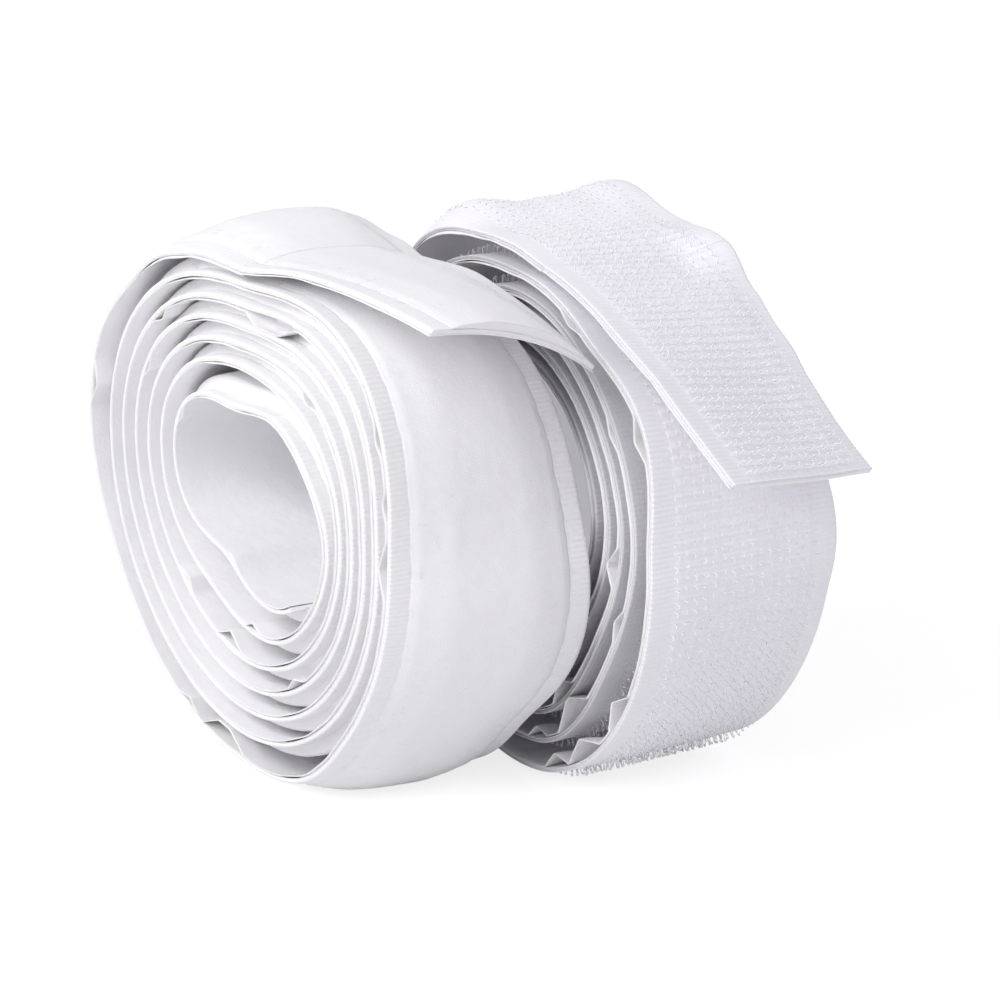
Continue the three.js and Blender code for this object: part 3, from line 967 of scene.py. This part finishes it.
def pile_band(name, roll, stations, material):
    """The brushed loop field: a soft uneven mat with feathered edges, thicker where a turn lies over it."""
    across = np.linspace(-HALF_FIELD, HALF_FIELD, PILE_COLUMNS)
    inward = HALF_FIELD - np.abs(across)
    side = np.sign(across)
    s = stations[:, None]
    covered = pile_cover(roll, s)
    feather = smooth_step(inward / PILE_FEATHER) * covered + pile_crown(across) * (1 - covered)
    uneven = PILE_UNEVEN * sum(noise(s / long, across / wide + shift) for long, wide, shift in PILE_LUMPS)
    top = FIELD_SUNK - (pile_height(roll, s, across, covered) + uneven) * feather
    near_edge = smooth_step((np.abs(across) - PILE_WANDER_FROM) / (HALF_FIELD - PILE_WANDER_FROM))
    wander = PILE_WANDER * noise(s / PILE_WANDER_LENGTH, side * PILE_WANDER_ROW) * near_edge
    top_x = across * (1 + PILE_SPREAD * covered) + wander * side
    below = top_x[:, ::-PILE_UNDER_EVERY]
    ring_x = np.concatenate([top_x, below], 1)
    ring_depth = np.concatenate([top, np.full(below.shape, FIELD_BOTTOM)], 1)
    return loft(name, roll, stations, ring_x, ring_depth, material)


def hook_column_places():
    return (np.arange(HOOK_COLUMNS) + 0.5) * COLUMN_PITCH - HALF_FIELD


def bed_band(name, roll, stations, material):
    """The woven bed that the hooks stand in, raised along their columns and rows."""
    across = np.linspace(-HALF_FIELD, HALF_FIELD, BED_STEPS * HOOK_COLUMNS + 1)
    feather = smooth_step((HALF_FIELD - np.abs(across)) / BED_FEATHER)
    s = stations[:, None]
    columns = 0.5 + 0.5 * np.cos(TURN * across / COLUMN_PITCH)
    rows = 0.5 + 0.5 * np.cos(TURN * (s - HOOK_ROW_START) / HOOK_ROW_PITCH)
    relief = BED_PLAIN + BED_RIBS * ribs(s) + BED_COLUMNS * columns + BED_ROWS * rows
    top = FIELD_SUNK - BED_HEIGHT * relief * feather
    below = across[::-BED_STEPS]
    ring_x = np.tile(np.concatenate([across, below]), (len(stations), 1))
    ring_depth = np.concatenate([top, np.full((len(stations), len(below)), FIELD_BOTTOM)], 1)
    return loft(name, roll, stations, ring_x, ring_depth, material)


def hooks_stand(s):
    """How far the hooks stand up: less on the pressed stretches."""
    pressed = 0
    for start, fade_in, end, fade_out in PRESSED_STRETCHES:
        pressed = pressed + smooth_step((s - start) / fade_in) * smooth_step((end - s) / fade_out)
    return 1 - PRESSED_SHARE * pressed


def hook_rows(start, end):
    """Places of the rows of hooks between two distances, in step from the winding into the free end."""
    first = math.ceil((start - HOOK_ROW_START) / HOOK_ROW_PITCH)
    last = math.floor((end - HOOK_ROW_START) / HOOK_ROW_PITCH)
    return HOOK_ROW_START + HOOK_ROW_PITCH * np.arange(first, last + 1)


def hook_shape():
    """A cane of points (along, out): a straight stem, then most of a half turn."""
    bend = HOOK_REACH / 2
    turn = np.linspace(0, HOOK_BEND, HOOK_BEND_POINTS)
    arc = np.stack([bend - bend * np.cos(turn), HOOK_HEIGHT - bend + bend * np.sin(turn)], 1)
    return np.concatenate([[[0, -HOOK_ROOT]], arc])


def strand_paths(base, ways, runs, wire):
    """Paths in the frame from starting points, and for each of three directions how far every point goes that
    way. No point goes under the floor."""
    paths = base[:, None]
    for way, run in zip(ways, runs):
        paths = paths + way[:, None] * run[..., None]
    paths[..., 2] = np.maximum(paths[..., 2], wire)
    return paths


def hooks_on(name, roll, rows, columns, sides, material):
    """Hooks that face one way and the other in turn, each with its own lean."""
    s, x = (grid.ravel() for grid in np.meshgrid(rows, columns, indexing="ij"))
    s = s + random.normal(0, HOOK_STRAY_ALONG, s.shape)
    x = x + random.normal(0, HOOK_STRAY_ACROSS, x.shape)
    count = len(s)
    facing = np.where((np.arange(count) % 2) == 0, 1.0, -1.0)
    lean_along = random.normal(0, HOOK_LEAN_ALONG, count)
    lean_across = random.normal(0, HOOK_LEAN_ACROSS, count)
    tall = random.uniform(*HOOK_TALLNESS, count) * hooks_stand(s)
    forward, up = hook_shape().T
    reach = facing[:, None] * forward + (lean_along * tall)[:, None] * up
    aside = lean_across[:, None] * up
    height = tall[:, None] * up
    paths = strand_paths(roll.point(s, x, 0), roll.axes(s, x), (reach, aside, height), HOOK_WIRE)
    return tubes(name, paths, HOOK_WIRE, sides, material)


def fibres_on(name, roll, start, end, material):
    """Small loops of fibre that stand out of the pile, lying every way."""
    count = round((end - start) * FIELD_WIDTH * FIBRES_PER_MM2)
    widest = HALF_FIELD + FIBRE_OVERHANG
    s = random.uniform(start + FIBRE_END_MARGIN, end - FIBRE_END_MARGIN, count)
    x = random.uniform(-widest, widest, count)
    heading = random.uniform(0, TURN, count)[:, None]
    span = FIBRE_SPAN * random.uniform(*FIBRE_SPANS, count)
    rise = FIBRE_RISE * random.uniform(*FIBRE_RISES, count)
    curl = random.normal(0, FIBRE_CURL, count)
    share = np.linspace(0, 1, FIBRE_POINTS)
    run = (share - 0.5) * span[:, None]
    swerve = curl[:, None] * np.sin(share * TURN)
    height = np.sin(share * math.pi) * rise[:, None]
    along, across, out = roll.axes(s, x)
    way = along * np.cos(heading) + across * np.sin(heading)
    base = roll.point(s, x, -FIBRE_ROOT * PILE_HEIGHT * pile_crown(x))
    paths = strand_paths(base, (way, np.cross(out, way), out), (run, swerve, height), FIBRE_WIRE)
    return tubes(name, paths, FIBRE_WIRE, FIBRE_SIDES, material)


# Putting the winding's pieces on their rolls' bodies, and hiding the CAD parts that every piece stands for

def on_roll(piece, roll, slot, *nodes):
    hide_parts(*nodes)
    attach(piece, f"{roll.kind}_roll")


def across_lift(piece, roll, slot, *nodes):
    """Hides the CAD parts that a free-end piece stands for and bakes the piece's place into its mesh. The
    points where the end leaves the roll and where its bend would end are found, but nothing bends.
    """
    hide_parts(*nodes)
    start, end = (Vector(roll.point(s, 0, 0) * MM) for s in (0.0, LIFT_BEND))
    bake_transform(piece)


def across_peel(piece, roll, slot, *nodes):
    """Hides the CAD parts that a tab stands for and bakes its place into its mesh. The points where it comes
    off the free end and where its bend would end are found, but nothing bends.
    """
    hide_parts(*nodes)
    tab_from = roll.tail["tab_from"]
    start, end = (Vector(roll.point(s, 0, LINER_BOTTOM) * MM) for s in (tab_from, tab_from + PEEL_BEND))
    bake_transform(piece)


def dress_ground(roll, material):
    kind = roll.kind
    piece = ground_band(f"{kind}_wound_ground", roll, winding_stations(roll, RIB_STEP, COARSE_STEP), material)
    on_roll(piece, roll, f"{kind}_ground", f"{kind}_ground")
    free = end_stations(0, roll.tail["length"], RIB_STEP)
    piece = ground_band(f"{kind}_end_ground", roll, free, material)
    across_lift(piece, roll, f"{kind}_ground", f"{kind}_tail_ground")


def dress_adhesive(roll, material):
    kind = roll.kind
    wound = winding_stations(roll, COARSE_STEP, COARSE_STEP)
    piece = flat_band(f"{kind}_wound_adhesive", roll, wound, ADHESIVE, no_sag, material)
    on_roll(piece, roll, "adhesive", f"{kind}_adhesive")
    free = end_stations(0, roll.tail["length"], COARSE_STEP)
    piece = flat_band(f"{kind}_end_adhesive", roll, free, ADHESIVE, no_sag, material)
    across_lift(piece, roll, "adhesive", f"{kind}_tail_adhesive")


def dress_liner(roll, material):
    """The liner in the winding, its stretch that is held along the free end, and its loose tab."""
    kind = roll.kind
    tab_from = roll.tail["tab_from"]
    wound = winding_stations(roll, LINER_STEP, LINER_STEP)
    piece = flat_band(f"{kind}_wound_liner", roll, wound, LINER, liner_sag(roll), material)
    on_roll(piece, roll, "liner", f"{kind}_liner")
    held = end_stations(0, tab_from, LINER_STEP)
    piece = flat_band(f"{kind}_end_liner", roll, held, LINER, end_ripple, material)
    across_lift(piece, roll, "liner", f"{kind}_tail_liner")
    loose = end_stations(tab_from, roll.tail["length"], LINER_STEP)
    piece = flat_band(f"{kind}_end_tab", roll, loose, LINER, end_ripple, material)
    across_peel(piece, roll, "liner", f"{kind}_liner_tab")


def dress_layers(roll, materials):
    """The layers that both tapes have."""
    dress_ground(roll, materials[f"{roll.kind}_ground"])
    dress_adhesive(roll, materials["adhesive"])
    dress_liner(roll, materials["liner"])


def dress_pile(roll, pile, fibres):
    length = roll.tail["length"]
    piece = pile_band("loop_wound_field", roll, winding_stations(roll, PILE_STEP, COARSE_STEP), pile)
    on_roll(piece, roll, "loop_field", "loop_field")
    piece = pile_band("loop_end_field", roll, end_stations(0, length, PILE_STEP), pile)
    across_lift(piece, roll, "loop_field", "loop_tail_field")
    on_roll(fibres_on("loop_wound_fibres", roll, roll.turns_back(1), 0, fibres), roll, "loop_field")
    across_lift(fibres_on("loop_end_fibres", roll, 0, length, fibres), roll, "loop_field")


def dress_bed(roll, material):
    piece = bed_band("hook_wound_field", roll, winding_stations(roll, RIB_STEP, COARSE_STEP), material)
    on_roll(piece, roll, "hook_field", "hook_field")
    piece = bed_band("hook_end_field", roll, end_stations(0, roll.tail["length"], RIB_STEP), material)
    across_lift(piece, roll, "hook_field", "hook_tail_field")


def dress_hooks(roll, material):
    """All the hooks of the last turn and the free end, and those near the edges of the covered turns."""
    last_turn = roll.turns_back(1)
    columns = hook_column_places()
    wound = hook_rows(last_turn, -SEAM_MARGIN)
    piece = hooks_on("hook_wound_hooks", roll, wound, columns, HOOK_SIDES, material)
    on_roll(piece, roll, "hook_field")
    free = hook_rows(SEAM_MARGIN, roll.tail["length"] - CUT_END_MARGIN)
    piece = hooks_on("hook_end_hooks", roll, free, columns, HOOK_SIDES, material)
    across_lift(piece, roll, "hook_field")
    edges = np.concatenate([columns[:INNER_EDGE_COLUMNS], columns[-INNER_EDGE_COLUMNS:]])
    covered = hook_rows(INNER_END_MARGIN - roll.wound_length, last_turn - COVERED_MARGIN)
    piece = hooks_on("hook_inner_hooks", roll, covered, edges, INNER_HOOK_SIDES, material)
    on_roll(piece, roll, "hook_field")


# The stage, in metres

FLOOR_SIZE = 6
FLOOR_WHITE = 0.85
FLOOR_SEEN = 0.45
FLOOR_GLOW = 0.76
WORLD_LEVEL = 0.64
WORLD_TILT = (0.1, -0.11, -0.12)
WORLD_TINT = (0.97, 0.955, 1)
KEY_PLACE = (-0.65, -0.14, 0.5)
KEY_AIM = (0, 0, 0.03)
KEY_SIZE = 0.5
KEY_POWER = 4.75


def seen_directly(tree):
    """1 for what the camera sees itself, in a mirror or through glass, and 0 for light on its way."""
    path = tree.nodes.new("ShaderNodeLightPath")
    direct = blend_values(tree, "MAXIMUM", path.outputs["Is Camera Ray"], path.outputs["Is Glossy Ray"])
    return blend_values(tree, "MAXIMUM", direct, path.outputs["Is Transmission Ray"])


def floor_material():
    """Keeps a soft shadow of the object, and is white where no shadow falls."""
    material = bpy.data.materials.new("floor_white")
    material.use_nodes = True
    tree = material.node_tree
    tree.nodes.clear()
    direct = seen_directly(tree)
    darker = blend_values(tree, "MULTIPLY", direct, FLOOR_WHITE - FLOOR_SEEN)
    shade = blend_values(tree, "SUBTRACT", FLOOR_WHITE, darker)
    diffuse = add_node(tree, "ShaderNodeBsdfDiffuse", (), Color=shade)
    strength = blend_values(tree, "MULTIPLY", direct, FLOOR_GLOW)
    glow = add_node(tree, "ShaderNodeEmission", (), Color=(1, 1, 1, 1), Strength=strength)
    both = tree.nodes.new("ShaderNodeAddShader")
    tree.links.new(diffuse.outputs[0], both.inputs[0])
    tree.links.new(glow.outputs[0], both.inputs[1])
    add_node(tree, "ShaderNodeOutputMaterial", (), Surface=both.outputs[0])
    return material


def make_floor():
    half = FLOOR_SIZE / 2
    corners = [(-half, -half, 0), (half, -half, 0), (half, half, 0), (-half, half, 0)]
    mesh = bpy.data.meshes.new("floor")
    mesh.from_pydata(corners, [], [(0, 1, 2, 3)])
    mesh.materials.append(floor_material())
    floor = bpy.data.objects.new("floor", mesh)
    bpy.context.scene.collection.objects.link(floor)


def make_world():
    """Soft studio light, stronger from the right, the front and low down, and white where it is seen."""
    world = bpy.data.worlds.new("studio")
    bpy.context.scene.world = world
    world.use_nodes = True
    tree = world.node_tree
    background = tree.nodes["Background"]
    background.inputs["Color"].default_value = (*WORLD_TINT, 1)
    direction = add_node(tree, "ShaderNodeTexCoord").outputs["Generated"]
    tilt = add_node(tree, "ShaderNodeVectorMath", {"operation": "DOT_PRODUCT"})
    tilt.inputs[1].default_value = WORLD_TILT
    tree.links.new(direction, tilt.inputs[0])
    level = blend_values(tree, "ADD", tilt.outputs["Value"], WORLD_LEVEL)
    short_of_white = blend_values(tree, "SUBTRACT", 1.0, level)
    added = blend_values(tree, "MULTIPLY", seen_directly(tree), short_of_white)
    tree.links.new(blend_values(tree, "ADD", level, added), background.inputs["Strength"])


def make_key_light():
    light = bpy.data.lights.new("key", "AREA")
    light.size = KEY_SIZE
    light.energy = KEY_POWER
    lamp = bpy.data.objects.new("key", light)
    lamp.location = KEY_PLACE
    lamp.rotation_euler = (Vector(KEY_AIM) - Vector(KEY_PLACE)).to_track_quat("-Z", "Y").to_euler()
    bpy.context.scene.collection.objects.link(lamp)


def make_camera():
    data = bpy.data.cameras.new("camera")
    data.lens = CAMERA_LENS
    data.sensor_width = CAMERA_SENSOR
    camera = bpy.data.objects.new("camera", data)
    level = math.cos(CAMERA_ELEVATION)
    aside = math.sin(CAMERA_AZIMUTH) * level
    ahead = math.cos(CAMERA_AZIMUTH) * level
    back = Vector((aside, -ahead, math.sin(CAMERA_ELEVATION)))
    camera.location = (Vector(CAMERA_TARGET) + back * CAMERA_DISTANCE) * MM
    camera.rotation_euler = (-back).to_track_quat("-Z", "Y").to_euler()
    bpy.context.scene.collection.objects.link(camera)
    bpy.context.scene.camera = camera


make_camera()
make_floor()
make_world()
make_key_light()
bpy.context.scene.view_settings.view_transform = "Standard"

hook = hook_roll()
loop = loop_roll()
materials = make_materials(hook)
dress_layers(hook, materials)
dress_bed(hook, materials["hook_field"])
dress_hooks(hook, materials["hooks"])
dress_layers(loop, materials)
dress_pile(loop, materials["loop_field"], materials["fibres"])
